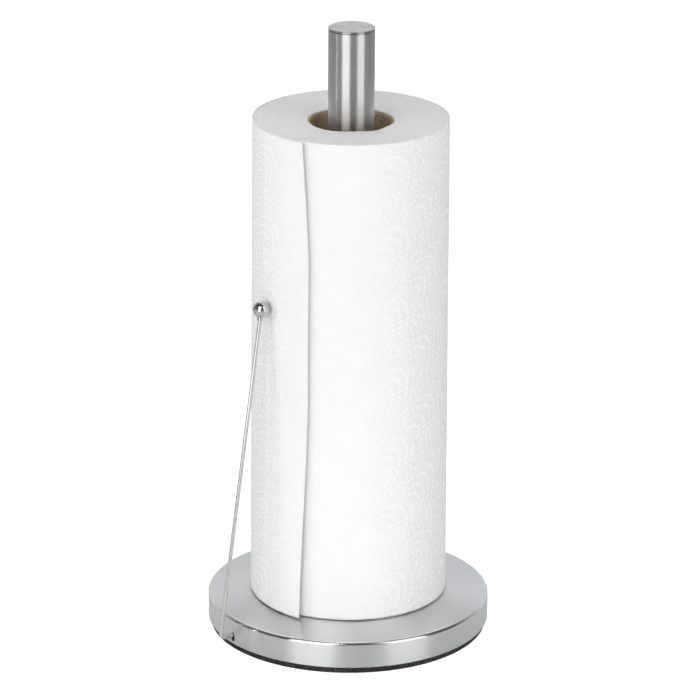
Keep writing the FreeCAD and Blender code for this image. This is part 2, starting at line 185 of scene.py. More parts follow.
# How strongly the embossing is pressed: it sets in over one length back from the free edge, and fades to
# almost nothing over another, towards the roll's front. That fade is painted light: the roll's brightly lit
# front is left plain, without its painted shade and highlights.
LOOSE_PRESS = 0.1
LOOSE_SPAN = (10 * MM, 36 * MM)
FRONT_WASHOUT_PRESS = 0.05
FRONT_WASHOUT_SPAN = (266 * MM, 294 * MM)

# The camera, which looks down on the holder from the front
CAMERA_PLACE = Vector((-0.00088, -2.1, 0.9014))
CAMERA_TILT = 0.34186
CAMERA_ROLL = 0.00636
CAMERA_LENS = 218.95
CAMERA_SENSOR = 36.0
CAMERA_CLIP = (0.1, 100)

# The floor: a disc that is open under the holder's pad and lies just below it
FLOOR_COLUMNS = 96
FLOOR_OPENING = 70 * MM
FLOOR_RADIUS = 9.0
FLOOR_DROP = 0.3 * MM
FLOOR_GLOW = 0.82

# The room as the holder sees it: dark in front and overhead, light behind
ROOM_DARK = (0.10, 0.10, 0.105)
ROOM_LIGHT = (0.68, 0.69, 0.71)
ROOM_TILT = 0.5
ROOM_EDGE = 0.65

# Soft lights: name, degrees round from the front towards +X, degrees up, distance, size, radiance, the height
# on the post that each is aimed at, and whether shiny pieces reflect it
LIGHTS = [
    ("key", -27.5, 22, 0.75, (0.50, 1.0), 1.7, 0.15, True),
    ("fill", 47, 22, 0.75, (0.47, 1.0), 1.3, 0.15, True),
    ("strip", -77, 3, 0.9, (0.04, 0.4), 2.2, 0.15, True),
    ("top", 0, 88, 1.5, (1.2, 1.2), 1.0, 0.15, False),
    ("back", 180, 50, 1.0, (0.8, 0.6), 1.0, 0.15, True),
    ("left_wash", -72, 20, 1.5, (0.8, 0.8), 3.4, 0.15, False),
    ("front_wash", 5, 14, 1.6, (0.8, 0.8), 1.1, 0.15, False),
    ("right_wash", 72, 16, 1.6, (0.8, 0.8), 2.7, 0.15, False),
    ("low_wash", 0, 4, 0.2, (0.5, 0.06), 0.8, 0.02, False),
]


# ---------------------------------------------------------------- nodes

def add(tree, kind, inputs=None, **settings):
    """A new shader node. inputs maps socket names or numbers to values or to other sockets."""
    made = tree.nodes.new("ShaderNode" + kind)
    for key, value in settings.items():
        setattr(made, key, value)
    for key, value in (inputs or {}).items():
        if isinstance(value, bpy.types.NodeSocket):
            tree.links.new(value, made.inputs[key])
        else:
            made.inputs[key].default_value = value
    return made


def calc(tree, operation, *values):
    return add(tree, "Math", dict(enumerate(values)), operation=operation).outputs[0]


def hypot(tree, x, y):
    """The length of a flat vector."""
    return calc(tree, "SQRT", calc(tree, "ADD", *[calc(tree, "MULTIPLY", side, side) for side in (x, y)]))


def combine(tree, x, y, z):
    return add(tree, "CombineXYZ", {0: x, 1: y, 2: z}).outputs[0]


def noise_of(tree, vector, scale, detail=2.0, rough=0.5, w=None):
    """A noise pattern from 0 to 1 in the given coordinates."""
    inputs = {"Vector": vector, "Scale": scale, "Detail": detail, "Roughness": rough}
    if w is not None:
        inputs["W"] = w
    return add(tree, "TexNoise", inputs, noise_dimensions="3D" if w is None else "4D").outputs[0]


def spread(tree, value, low, high, from_low=0.0, from_high=1.0):
    """Maps a pattern to a range of numbers, without going past its ends."""
    inputs = {0: value, 1: from_low, 2: from_high, 3: low, 4: high}
    return add(tree, "MapRange", inputs, clamp=True).outputs[0]


def ramp(tree, value, *stops):
    """A colour from a pattern; stops are (place, colour)."""
    made = add(tree, "ValToRGB", {0: value})
    band = made.color_ramp
    for end, (place, colour) in zip(band.elements, (stops[0], stops[-1])):
        end.position, end.color = place, (*colour, 1)
    for place, colour in stops[1:-1]:
        band.elements.new(place).color = (*colour, 1)
    return made.outputs[0]


def mix(tree, factor, first, second):
    """A colour from the first at 0 to the second at 1. Each is a socket or a fixed colour."""
    inputs = {"Factor": factor}
    for key, side in (("A", first), ("B", second)):
        inputs[key] = side if isinstance(side, bpy.types.NodeSocket) else (*side, 1)
    return add(tree, "Mix", inputs, data_type="RGBA").outputs[2]


def bump(tree, height, depth, under=None):
    """A bump of the given depth in metres for a pattern from 0 to 1."""
    inputs = {"Height": height, "Distance": depth, "Strength": 1.0}
    if under is not None:
        inputs["Normal"] = under
    return add(tree, "Bump", inputs).outputs[0]


def material(name):
    """A new material with its tree and its principled shader."""
    made = bpy.data.materials.new(name)
    made.use_nodes = True
    tree = made.node_tree
    return made, tree, tree.nodes["Principled BSDF"]


def wire(tree, shader, **inputs):
    """Sets the shader's sockets; an underscore in a name stands for a space."""
    for key, value in inputs.items():
        socket = shader.inputs[key.replace("_", " ")]
        if isinstance(value, bpy.types.NodeSocket):
            tree.links.new(value, socket)
        else:
            socket.default_value = value


def place(tree, kind="Object"):
    return add(tree, "TexCoord").outputs[kind]


def round_place(tree):
    """Seamless coordinates about the holder's axis: the outward direction as x and y, the radius, and z."""
    x, y, z = add(tree, "SeparateXYZ", {0: place(tree)}).outputs
    radius = hypot(tree, x, y)
    return calc(tree, "DIVIDE", x, radius), calc(tree, "DIVIDE", y, radius), radius, z


def brushing(tree, along, across):
    """Fine lines that run round the holder's axis. along is the pattern's scale in the outward direction,
    which turns once round the axis; across is its scale in height and radius, per metre."""
    out_x, out_y, radius, z = round_place(tree)
    x, y = calc(tree, "MULTIPLY", out_x, along), calc(tree, "MULTIPLY", out_y, along)
    vector = combine(tree, x, y, calc(tree, "MULTIPLY", z, across))
    return noise_of(tree, vector, scale=1.0, detail=3.0, rough=0.6, w=calc(tree, "MULTIPLY", radius, across))


def shaded(colour, share):
    """A colour at a share of its brightness."""
    return tuple(c * share for c in colour)


# ---------------------------------------------------------------- materials

def brushed_steel(name, colour, rough, anisotropic, edge=None):
    """Stainless steel brushed round the holder's axis, with faint smudges.
    edge is the radius and height past which the steel is turned bright."""
    made, tree, shader = material(name)
    lines = brushing(tree, along=4.0, across=5200.0)
    smudges = noise_of(tree, place(tree), scale=38.0, detail=3.0, rough=0.55)
    fine = spread(tree, lines, rough - 0.03, rough + 0.03, 0.3, 0.7)
    shade = spread(tree, smudges, -0.02, 0.02, 0.35, 0.7)
    total = calc(tree, "ADD", fine, shade)
    if edge:
        radius, z = round_place(tree)[2:]
        beyond = spread(tree, radius, 0.0, 1.0, edge[0] - 0.3 * MM, edge[0] + 0.1 * MM)
        above = spread(tree, z, 0.0, 1.0, edge[1] - 0.2 * MM, edge[1] + 0.2 * MM)
        total = spread(tree, calc(tree, "MULTIPLY", beyond, above), total, EDGE_ROUGH)
    tangent = add(tree, "Tangent", direction_type="RADIAL", axis="Z").outputs[0]
    wire(tree, shader, Base_Color=ramp(tree, lines, (0.25, shaded(colour, 0.95)), (0.75, colour)))
    wire(tree, shader, Metallic=1.0, Roughness=total, Normal=bump(tree, lines, depth=0.004 * MM))
    wire(tree, shader, Tangent=tangent, Anisotropic=anisotropic, Anisotropic_Rotation=0.25)
    return made


def polished(name, colour, rough):
    """Bright chrome plating, with the faintest orange peel and wipe marks."""
    made, tree, shader = material(name)
    peel = noise_of(tree, place(tree), scale=900.0)
    wipes = noise_of(tree, place(tree), scale=120.0, detail=4.0, rough=0.6)
    wire(tree, shader, Base_Color=ramp(tree, wipes, (0.3, shaded(colour, 0.96)), (0.7, colour)))
    wire(tree, shader, Metallic=1.0, Roughness=spread(tree, wipes, rough, rough + 0.05, 0.35, 0.75))
    wire(tree, shader, Normal=bump(tree, peel, depth=0.003 * MM))
    return made


def zinc(name, colour, spangle):
    """Zinc-plated steel: crystal spangles of slightly different shades."""
    made, tree, shader = material(name)
    cells = add(tree, "TexVoronoi", {"Vector": place(tree), "Scale": spangle}).outputs["Color"]
    shade = add(tree, "SeparateColor", {0: cells}).outputs[0]
    grain = noise_of(tree, place(tree), scale=2200.0, detail=3.0)
    wire(tree, shader, Base_Color=ramp(tree, shade, (0.0, shaded(colour, 0.82)), (1.0, colour)))
    wire(tree, shader, Metallic=1.0, Roughness=spread(tree, shade, 0.28, 0.46))
    wire(tree, shader, Normal=bump(tree, grain, depth=0.01 * MM))
    return made


def spring_steel(name):
    """Drawn dark wire with fine scale marks."""
    made, tree, shader = material(name)
    marks = noise_of(tree, place(tree), scale=1500.0, detail=4.0, rough=0.65)
    wire(tree, shader, Base_Color=ramp(tree, marks, (0.3, (0.20, 0.20, 0.21)), (0.7, (0.42, 0.42, 0.43))))
    wire(tree, shader, Metallic=1.0, Roughness=spread(tree, marks, 0.25, 0.42))
    wire(tree, shader, Normal=bump(tree, marks, depth=0.012 * MM))
    return made


def cast_iron(name):
    """The rough sand-cast weight, with a thin dark paint."""
    made, tree, shader = material(name)
    sand = noise_of(tree, place(tree), scale=1400.0, detail=6.0, rough=0.65)
    patches = noise_of(tree, place(tree), scale=60.0, detail=4.0, rough=0.6)
    paint = ramp(tree, patches, (0.3, (0.045, 0.045, 0.048)), (0.75, (0.11, 0.10, 0.10)))
    wire(tree, shader, Base_Color=paint, Metallic=0.6, Roughness=spread(tree, sand, 0.55, 0.8))
    wire(tree, shader, Normal=bump(tree, sand, depth=0.12 * MM))
    return made


def foam_rubber(name):
    """Closed-cell black foam: cut cells that catch a little light."""
    made, tree, shader = material(name)
    cells = {"Vector": place(tree), "Scale": 1500.0, "Randomness": 1.0}
    walls = add(tree, "TexVoronoi", cells).outputs["Distance"]
    patches = noise_of(tree, place(tree), scale=420.0, detail=4.0, rough=0.7)
    speck = calc(tree, "MULTIPLY", spread(tree, walls, 0.0, 1.0, 0.25, 0.7), patches)
    black = ramp(tree, speck, (0.15, (0.006, 0.006, 0.007)), (0.55, (0.075, 0.075, 0.08)))
    wire(tree, shader, Base_Color=black, Roughness=spread(tree, patches, 0.75, 0.95), Specular_IOR_Level=0.3)
    wire(tree, shader, Normal=bump(tree, speck, depth=0.4 * MM))
    return made


def moulded_plastic(name, colour, rough):
    """Moulded plastic with faint turning marks from its mould."""
    made, tree, shader = material(name)
    marks = brushing(tree, along=3.0, across=3600.0)
    mottle = noise_of(tree, place(tree), scale=260.0, detail=3.0)
    wire(tree, shader, Base_Color=ramp(tree, mottle, (0.3, shaded(colour, 0.94)), (0.7, colour)))
    wire(tree, shader, Roughness=spread(tree, mottle, rough - 0.05, rough + 0.08))
    wire(tree, shader, Normal=bump(tree, marks, depth=0.01 * MM))
    return made


def cardboard(name):
    """Grey-brown board with long upright fibres, and darker flecks of recycled stock."""
    made, tree, shader = material(name)
    x, y, z = add(tree, "SeparateXYZ", {0: place(tree)}).outputs
    stretched = combine(tree, x, y, calc(tree, "MULTIPLY", z, 0.35))
    fibres = noise_of(tree, stretched, scale=900.0, detail=5.0, rough=0.7)
    flecks = noise_of(tree, place(tree), scale=520.0)
    shades = (0.3, (0.36, 0.265, 0.17)), (0.55, (0.50, 0.39, 0.27)), (0.8, (0.60, 0.49, 0.36))
    stock = ramp(tree, fibres, *shades)
    board = mix(tree, spread(tree, flecks, 1.0, 0.0, 0.62, 0.72), (0.20, 0.15, 0.11), stock)
    wire(tree, shader, Base_Color=board, Roughness=spread(tree, fibres, 0.82, 0.95))
    wire(tree, shader, Normal=bump(tree, fibres, depth=0.12 * MM))
    return made


def fan_dots(tree, along, up):
    """The embossed dots as a pattern from 0 to 1, from the paper's own length and height in metres."""

    def from_centre(row):
        """How far a point is beside, above and away from the centre of the nearest fan in a row."""
        half = calc(tree, "MULTIPLY", calc(tree, "FLOORED_MODULO", row, 2.0), FAN_COLUMN / 2)
        rise = calc(tree, "SUBTRACT", up, calc(tree, "MULTIPLY", row, FAN_ROW))
        shift = calc(tree, "SUBTRACT", half, calc(tree, "MULTIPLY", rise, FAN_LEAN))
        across = calc(tree, "SUBTRACT", along, shift)
        column = calc(tree, "ROUND", calc(tree, "DIVIDE", across, FAN_COLUMN))
        side = calc(tree, "SUBTRACT", across, calc(tree, "MULTIPLY", column, FAN_COLUMN))
        side = calc(tree, "DIVIDE", side, FAN_NARROW)
        return side, rise, hypot(tree, side, rise)

    def inside(off):
        """1 in the core of a dot and 0 past its edge, from the distance off its middle."""
        inputs = {0: off, 1: DOT_CORE, 2: DOT_EDGE, 3: 1.0, 4: 0.0}
        return add(tree, "MapRange", inputs, interpolation_type="SMOOTHSTEP").outputs[0]

    row = calc(tree, "FLOOR", calc(tree, "DIVIDE", up, FAN_ROW))
    low_fan = from_centre(calc(tree, "SUBTRACT", row, 1.0))
    lower = calc(tree, "LESS_THAN", low_fan[2], FAN_RADIUS)
    side, rise, far = [add(tree, "Mix", {"Factor": lower, "A": value, "B": low_value}).outputs[0]
                       for low_value, value in zip(low_fan, from_centre(row))]
    ring = calc(tree, "ROUND", calc(tree, "DIVIDE", far, RING_PITCH))
    off_ring = calc(tree, "ABSOLUTE", calc(tree, "SUBTRACT", far, calc(tree, "MULTIPLY", ring, RING_PITCH)))
    angle = calc(tree, "ARCTAN2", rise, side)
    arc = calc(tree, "MULTIPLY", calc(tree, "MULTIPLY", angle, ring), RING_PITCH / DOT_PITCH)
    off_dot = calc(tree, "ABSOLUTE", calc(tree, "SUBTRACT", calc(tree, "FRACT", arc), 0.5))
    off_dot = calc(tree, "MULTIPLY", off_dot, DOT_PITCH / DOT_STRETCH)
    return calc(tree, "MULTIPLY", inside(off_ring), inside(off_dot))


def tissue(name):
    """Soft white two-ply paper with its embossing, whose dots carry a painted highlight and the ground
    between them painted shade; its UV map is the paper's length and height in metres.
    """
    made, tree, shader = material(name)
    along, up = add(tree, "SeparateXYZ", {0: add(tree, "UVMap", uv_map="paper").outputs[0]}).outputs[:2]
    loose_end = spread(tree, along, LOOSE_PRESS, 1.0, *LOOSE_SPAN)
    # The fade across the roll's front is painted light: the brightly lit front is left plain.
    front = spread(tree, along, 1.0, FRONT_WASHOUT_PRESS, *FRONT_WASHOUT_SPAN)
    pressed = calc(tree, "MULTIPLY", loose_end, front)
    dots = calc(tree, "MULTIPLY", fan_dots(tree, along, up), pressed)
    fibres = noise_of(tree, place(tree), scale=1300.0, detail=4.0, rough=0.65)
    cloud = noise_of(tree, place(tree), scale=90.0, detail=3.0, rough=0.6)
    plain = ramp(tree, cloud, (0.3, (0.825, 0.83, 0.835)), (0.7, (0.855, 0.855, 0.855)))
    # Painted shade: the ground between the dots is darkened where the embossing is pressed.
    ground_with_painted_shade = mix(tree, calc(tree, "MULTIPLY", pressed, 0.7), plain, (0.78, 0.785, 0.79))
    # Painted highlight: the dots are painted near white, lighter than the paper around them.
    colour = mix(tree, dots, ground_with_painted_shade, (0.985, 0.985, 0.98))
    soft = bump(tree, fibres, depth=0.06 * MM)
    wire(tree, shader, Base_Color=colour, Roughness=spread(tree, fibres, 0.85, 0.97))
    wire(tree, shader, Normal=bump(tree, dots, DOT_DEPTH, soft), Specular_IOR_Level=0.25)
    wire(tree, shader, Sheen_Weight=0.12, Sheen_Roughness=0.5)
    return made


def paper_edges(name):
    """The wound paper seen on its cut ends: thin turns and torn fibres."""
    made, tree, shader = material(name)
    out_x, out_y, radius = round_place(tree)[:3]
    x, y = calc(tree, "MULTIPLY", out_x, 5.0), calc(tree, "MULTIPLY", out_y, 5.0)
    turns = combine(tree, x, y, calc(tree, "MULTIPLY", radius, 3200.0))
    layers = noise_of(tree, turns, scale=1.0, detail=3.0, rough=0.6)
    fluff = noise_of(tree, place(tree), scale=1500.0, detail=4.0, rough=0.65)
    shades = (0.25, (0.80, 0.80, 0.795)), (0.5, (0.865, 0.865, 0.86)), (0.8, (0.92, 0.92, 0.915))
    white = ramp(tree, layers, *shades)
    crumbs = spread(tree, noise_of(tree, place(tree), scale=1150.0, detail=1.0), 0.0, 1.0, 0.60, 0.70)
    patches = spread(tree, noise_of(tree, place(tree), scale=42.0), 0.0, 1.0, 0.45, 0.62)
    colour = mix(tree, calc(tree, "MULTIPLY", crumbs, patches), white, (0.98, 0.98, 0.975))
    wire(tree, shader, Base_Color=colour, Roughness=spread(tree, fluff, 0.88, 0.98), Specular_IOR_Level=0.2)
    torn = bump(tree, fluff, depth=0.22 * MM)
    wire(tree, shader, Normal=bump(tree, layers, 0.14 * MM, torn))
    return made


# ---------------------------------------------------------------- meshes

def piece(name, points, faces, body, stuff, uvs=None):
    """A smooth piece from numpy points and lists of faces, which rides on a body if one is given."""
    mesh = bpy.data.meshes.new(name)
    mesh.from_pydata(points.tolist(), [], faces)
    if uvs is not None:
        layer = mesh.uv_layers.new(name="paper")
        corners = np.empty(len(mesh.loops), dtype=np.int32)
        mesh.loops.foreach_get("vertex_index", corners)
        layer.data.foreach_set("uv", uvs[corners].astype(np.float32).ravel())
    mesh.polygons.foreach_set("use_smooth", [True] * len(mesh.polygons))
    mesh.materials.append(stuff)
    mesh.update()
    made = bpy.data.objects.new(name, mesh)
    bpy.context.scene.collection.objects.link(made)
    if body:
        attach(made, body)
    return made


def polar(radius, angle, z):
    """Points at radii, angles about +Z and heights, which are broadcast together."""
    return np.stack(np.broadcast_arrays(radius * np.cos(angle), radius * np.sin(angle), z), axis=-1)


def grid_faces(rows, columns, start=0, flip=False, closed=False):
    """Quads over a grid of points stored row by row. closed joins the last row to the first."""
    row = np.arange(rows if closed else rows - 1)
    following = (row + 1) % rows
    column = np.arange(columns - 1)
    a = (row[:, None] * columns + column[None, :]).ravel()
    b = (following[:, None] * columns + column[None, :]).ravel()
    quads = np.stack([a, b, b + 1, a + 1], axis=1) + start
    return quads[:, ::-1] if flip else quads


def thin_solid(outer, inner):
    """Closes two grids of points, one each side of a thin sheet, into one solid."""
    rows, columns = outer.shape[:2]
    count = rows * columns
    points = np.concatenate([outer.reshape(-1, 3), inner.reshape(-1, 3)])
    index = np.arange(count).reshape(rows, columns)
    rim = np.concatenate([index[:-1, 0], index[-1, :-1], index[:0:-1, -1], index[0, :0:-1]])
    following = np.roll(rim, -1)
    sides = np.stack([following, rim, rim + count, following + count], axis=1)
    faces = [grid_faces(rows, columns), grid_faces(rows, columns, count, flip=True), sides]
    return points, np.concatenate(faces)


def around(columns):
    """A column of angles, equally spaced over one whole turn."""
    return (np.arange(columns) / columns * TAU)[:, None]


def wobble(size, *values):
    """Smooth noise from -1 to 1 over arrays of two or three coordinates, which are first divided by size."""
    arrays = np.broadcast_arrays(*[np.asarray(v, float) / size for v in values])
    flat = np.stack([a.ravel() for a in arrays], axis=1)
    if flat.shape[1] < 3:
        flat = np.pad(flat, ((0, 0), (0, 1)), constant_values=FLAT_NOISE_Z)
    return np.array([noise.noise(Vector(p)) for p in flat]).reshape(arrays[0].shape)


def smooth(value, low, high):
    share = np.clip((value - low) / (high - low), 0, 1)
    return share * share * (3 - 2 * share)


# ---------------------------------------------------------------- the paper

def spiral_radius(turn):
    """The outside of the wound paper at an angle back from its free edge."""
    return SPIRAL_START - PAPER * turn / TAU


def looseness(up):
    """The roll is wound a little looser towards its lower end, so it is slightly wider there."""
    return LOOSE_LOW - LOOSE_TAPER * up / ROLL_HEIGHT


def fan_ridges(along, up):
    """How far the embossing's rings stand out of the paper."""
    row = np.floor(up / FAN_ROW)

    def distance(row):
        rise = up - row * FAN_ROW
        across = along - np.mod(row, 2) * FAN_COLUMN / 2 + rise * FAN_LEAN
        side = (across - np.round(across / FAN_COLUMN) * FAN_COLUMN) / FAN_NARROW
        return np.hypot(side, rise)

    low = distance(row - 1)
    far = np.where(low < FAN_RADIUS, low, distance(row))
    return RIDGE_HEIGHT * 0.5 * (1 + np.cos(far / RING_PITCH * TAU))


def edge_setback(up):
    """How far the free edge is drawn back along the paper, near the bottom and the top."""
    low = SETBACK_LOW * np.cos(np.clip(up / SETBACK_LOW_SPAN, 0, 1) * math.pi / 2) ** 2
    high_share = np.clip((up - SETBACK_HIGH_START) / SETBACK_HIGH_SPAN, 0, 1)
    return (low + SETBACK_HIGH * high_share ** SETBACK_HIGH_POWER) * ROLL_RADIUS


def edge_lift(along, up):
    """How far the loose end stands off the roll: most at its lower corner."""
    low = np.clip((LOW_CORNER_SPAN - up) / LOW_CORNER_SPAN, 0, 1)
    high = np.clip((up - HIGH_CORNER_START) / HIGH_CORNER_SPAN, 0, 1)
    most = LIFT + LOW_CORNER_LIFT * low ** 2 + HIGH_CORNER_LIFT * high ** 2
    reach = LIFT_REACH + LOW_CORNER_REACH * low + HIGH_CORNER_REACH * high
    return most * np.clip(1 - along / reach, 0, 1) ** 2


def wound_sheet(name, first, loose):
    """One sheet of the outer turns, from first metres of paper back from the free edge."""
    along = np.linspace(0, SHEET_LENGTH, SHEET_COLUMNS)[:, None]
    up = np.linspace(0, ROLL_HEIGHT, SHEET_ROWS)[None, :]
    along, up = np.broadcast_arrays(along, up)
    length = along + first
    set_back = edge_setback(up) * (1 - along / SHEET_LENGTH) if loose else 0
    turn = (length + set_back) / ROLL_RADIUS
    radius = spiral_radius(turn) + looseness(up) + fan_ridges(length, up)
    dents = wobble(DENT_SIZE, np.cos(turn) * ROLL_RADIUS, np.sin(turn) * ROLL_RADIUS, up)
    radius = radius + DENT_DEPTH * dents
    if loose:
        radius = radius + edge_lift(along, up)
    rim = np.maximum(1 - up / FRAY_REACH, 1 - (ROLL_HEIGHT - up) / FRAY_REACH).clip(0, 1)
    radius = radius + FRAY_OUT * rim * wobble(FRAY_OUT_SIZE, length, up)
    z = ROLL_BOTTOM + up + FRAY_UP * rim * wobble(FRAY_UP_SIZE, length, up + FRAY_UP_SHIFT)
    angle = FREE_EDGE - turn
    points, faces = thin_solid(polar(radius - PAPER, angle, z), polar(radius, angle, z))
    flat = np.stack([length.ravel(), up.ravel()], axis=1)
    return piece(name, points, faces.tolist(), "roll", TISSUE, np.concatenate([flat, flat]))


def body_radius(turn, up):
    """The outside of the wound paper that is left under the two outer sheets."""
    hidden = 2 * SHEET_TURN - TAU
    layers = np.where(turn < hidden, 2, 1)
    return spiral_radius(turn + layers * TAU) + looseness(up) - SLACK


def end_face(turn, share, top):
    """Radii and heights over one cut end, from the core out: share is 0 at the core and 1 at the outside."""
    outer = body_radius(turn, ROLL_HEIGHT if top else 0.0)
    radius = CORE_RADIUS + (outer - CORE_RADIUS) * share
    layer = np.round(share * END_LAYERS)
    ridge = np.where(np.mod(np.arange(share.size), 2) == 0, RIDGE_DEPTH, 0.0)[None, :]
    x = np.cos(turn) * LAYER_WAVE + layer * LAYER_STEP_X
    uneven = LAYER_UNEVEN * wobble(1.0, x, np.sin(turn) * LAYER_WAVE, layer * LAYER_STEP_Z)
    lumps = LUMP_DEPTH * wobble(LUMP_SIZE, radius * np.cos(turn), radius * np.sin(turn))
    sink = END_DISH * (1 - share) ** DISH_POWER + ridge + uneven + lumps * (1 - share)
    z = ROLL_TOP - sink - END_INSET if top else ROLL_BOTTOM + LOW_DISH_SHARE * sink + END_INSET
    return radius, z


def wound_body():
    """The wound paper: the cut ends with their turns, the outside and the bore for the core."""
    turn = around(BODY_COLUMNS)
    share = np.linspace(0, 1, END_LAYERS * 2 + 1)[None, :]
    low_radius, low_z = end_face(turn, share[:, ::2], False)
    top_radius, top_z = end_face(turn, share, True)
    wall = np.linspace(0, 1, WALL_STEPS)[None, 1:-1]
    wall_radius = body_radius(turn, ROLL_HEIGHT * wall)
    wall_z = low_z[:, -1:] + (top_z[:, -1:] - low_z[:, -1:]) * wall
    radius = np.concatenate([low_radius, wall_radius, top_radius[:, ::-1]], axis=1)
    z = np.concatenate([low_z, wall_z, top_z[:, ::-1]], axis=1)
    points = polar(radius, FREE_EDGE - turn, z).reshape(-1, 3)
    # The profile closes on itself: its last column of faces ends on its first points.
    steps = radius.shape[1]
    row, step = np.divmod(grid_faces(BODY_COLUMNS, steps + 1, closed=True, flip=True), steps + 1)
    faces = row * steps + np.mod(step, steps)
    return piece("wound_paper", points, faces.tolist(), "roll", PAPER_EDGES)


def core_tube():
    """The cardboard core: a tube with the helical lap of its inner ply, and a ragged top inside the roll."""
    turn = around(CORE_COLUMNS)
    share = np.linspace(0, 1, CORE_ROWS)[None, :]
    ragged = CORE_RAGGED * wobble(1.0, np.cos(turn) * RAGGED_WAVE, np.sin(turn) * RAGGED_WAVE)
    top = ROLL_TOP - END_DISH - CORE_SUNK + ragged
    z = ROLL_BOTTOM + (top - ROLL_BOTTOM) * share
    ply = np.mod(turn / TAU * PLY_PITCH + z, PLY_PITCH) / PLY_PITCH
    lap = LAP_HEIGHT * smooth(ply, 0.0, LAP_STEP) * (1 - ply)
    dents = CORE_DENT * wobble(CORE_DENT_SIZE, CORE_RADIUS * np.cos(turn), CORE_RADIUS * np.sin(turn), z)
    inner = CORE_RADIUS - CORE_WALL + lap - CORE_DENT + dents
    outer = np.full_like(z, CORE_RADIUS - SLACK)
    radius = np.concatenate([outer, inner[:, ::-1]], axis=1)
    points = polar(radius, FREE_EDGE - turn, np.concatenate([z, z[:, ::-1]], axis=1))
    index = np.arange(radius.size).reshape(radius.shape)
    closed = np.concatenate([index, index[:, :1]], axis=1)
    following = np.roll(closed, -1, axis=0)
    faces = np.stack([closed[:, :-1], closed[:, 1:], following[:, 1:], following[:, :-1]], axis=2)
    faces = faces.reshape(-1, 4).tolist()
    return piece("core_tube", points.reshape(-1, 3), faces, "roll", CARD)


# ---------------------------------------------------------------- the arm's spring

def unit(vectors):
    return vectors / np.linalg.norm(vectors, axis=-1, keepdims=True)


def swept_wire(path, outward, radius, sides=12):
    """The points and faces of a round wire along a path. outward points across the path, all along it."""
    between = unit(np.diff(path, axis=0))
    tangent = unit(np.concatenate([between[:1], between[:-1] + between[1:], between[-1:]]))
    side = unit(np.cross(tangent, outward))
    normal = np.cross(side, tangent)
    angle = (np.arange(sides) / sides * TAU)[None, :, None]
    points = path[:, None] + radius * (np.cos(angle) * normal[:, None] + np.sin(angle) * side[:, None])
    ring = np.arange(len(path) - 1)[:, None] * sides
    first = (ring + np.arange(sides)).ravel()
    following = (ring + (np.arange(sides) + 1) % sides).ravel()
    faces = np.stack([first, following, following + sides, first + sides], axis=1).tolist()
    faces.append(list(range(sides))[::-1])
    faces.append(list(range(len(path) * sides - sides, len(path) * sides)))
    return points.reshape(-1, 3), faces


def torsion_spring(steps=24):
    """The arm's spring: one leg lies under the wire's stub, the other stays put."""
    hinge = next(j for j in frame["joints"] if j["name"] == "arm_swing")
    centre, axis, up = np.array(hinge["pos_m"]), np.array(hinge["axis"]), np.array((0.0, 0.0, 1.0))
    turn = np.linspace(0, TAU * SPRING_TURNS, SPRING_TURNS * steps + 1)
    outward = np.stack([np.cos(turn), np.sin(turn), 0 * turn], axis=1)
    coil = outward * SPRING_RADIUS
    coil[:, 2] = SPRING_PITCH * turn / TAU
    along = unit(np.array((0.0, SPRING_RADIUS * TAU, SPRING_PITCH)))
    arm_leg = coil[0] - SPRING_ARM_LEG * unit(along + np.array((0.0, 0.0, SPRING_ARM_LEG_SLOPE)))
    plate_leg = coil[-1] + SPRING_PLATE_LEG * along
    path = np.concatenate([[arm_leg], coil, [plate_leg]])
    outward = np.concatenate([outward[:1], outward, outward[-1:]])
    points, faces = swept_wire(path, outward, SPRING_WIRE)
    x, y, z = points.T[:, :, None]
    points = centre - np.cross(axis, up) * y + axis * (z + SPRING_START) - up * x
    made = piece("torsion_spring", points, faces, None, SPRING)
    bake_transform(made)
    return made


# ---------------------------------------------------------------- stage

def camera():
    data = bpy.data.cameras.new("camera")
    data.lens = CAMERA_LENS
    data.sensor_width = CAMERA_SENSOR
    data.clip_start, data.clip_end = CAMERA_CLIP
    made = bpy.data.objects.new("camera", data)
    look = Matrix.Rotation(math.pi / 2 - CAMERA_TILT, 4, "X") @ Matrix.Rotation(CAMERA_ROLL, 4, "Z")
    made.matrix_world = Matrix.Translation(CAMERA_PLACE) @ look
    bpy.context.scene.collection.objects.link(made)
    bpy.context.scene.camera = made


def softbox(name, azimuth, elevation, distance, size, radiance, aim, mirrored):
    """A rectangular soft light. azimuth is from the front towards +X and elevation is above the floor, both
    in degrees. aim is the height on the post that it faces. Shiny pieces show it if it's mirrored."""
    turn, rise = math.radians(azimuth), math.radians(elevation)
    out = Vector((math.sin(turn) * math.cos(rise), -math.cos(turn) * math.cos(rise), math.sin(rise)))
    data = bpy.data.lights.new(name, "AREA")
    data.shape = "RECTANGLE"
    data.size, data.size_y = size
    data.energy = radiance * math.pi * size[0] * size[1]
    made = bpy.data.objects.new(name, data)
    made.location = Vector((0, 0, aim)) + out * distance
    made.rotation_euler = (-out).to_track_quat("-Z", "Y").to_euler()
    made.visible_camera = False
    made.visible_glossy = mirrored
    bpy.context.scene.collection.objects.link(made)


